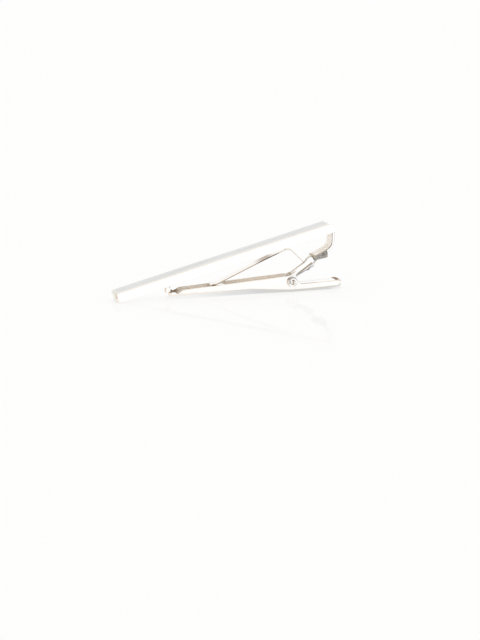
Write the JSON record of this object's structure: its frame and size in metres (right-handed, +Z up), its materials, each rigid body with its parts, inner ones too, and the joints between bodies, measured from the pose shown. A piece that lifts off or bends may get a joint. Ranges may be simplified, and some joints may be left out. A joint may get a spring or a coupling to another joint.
{
  "type": "tie clip",
  "caption": "Plain polished bar tie clip: a slim folded front bar with a riveted, leaf-sprung jaw lever that pinches tie and shirt behind it.",
  "frame": {"origin": "on the table the closed clip lies on, straight under the hinge rivet, on the lever's flat underside", "axes": "+X along the clip from the jaw to the thumb tab, +Y across its width, away from the viewer in the picture, +Z up from the table"},
  "size_m": [0.0606, 0.0066, 0.0172],
  "materials": {
    "polished_plate": "bright polished silver-coloured plate",
    "solder": "dull grey, rough",
    "spring_steel": "bright rolled steel"
  },
  "bodies": {
    "bar": {"front_bar": "polished_plate", "hinge_bracket": "polished_plate", "solder_joint": "solder"},
    "lever": {"jaw_lever": "polished_plate", "pivot_rivet": "polished_plate", "leaf_spring": "spring_steel"}
  },
  "joints": [
    {"name": "lever_hinge", "type": "hinge", "parent": "bar", "child": "lever", "pos_m": [0, 0, 0.00255], "axis": [0, -1, 0], "range_deg": [0, 26], "stiffness_Nm_per_rad": 0.1, "springref_deg": -22.92, "deforming": ["leaf_spring"]}
  ]
}
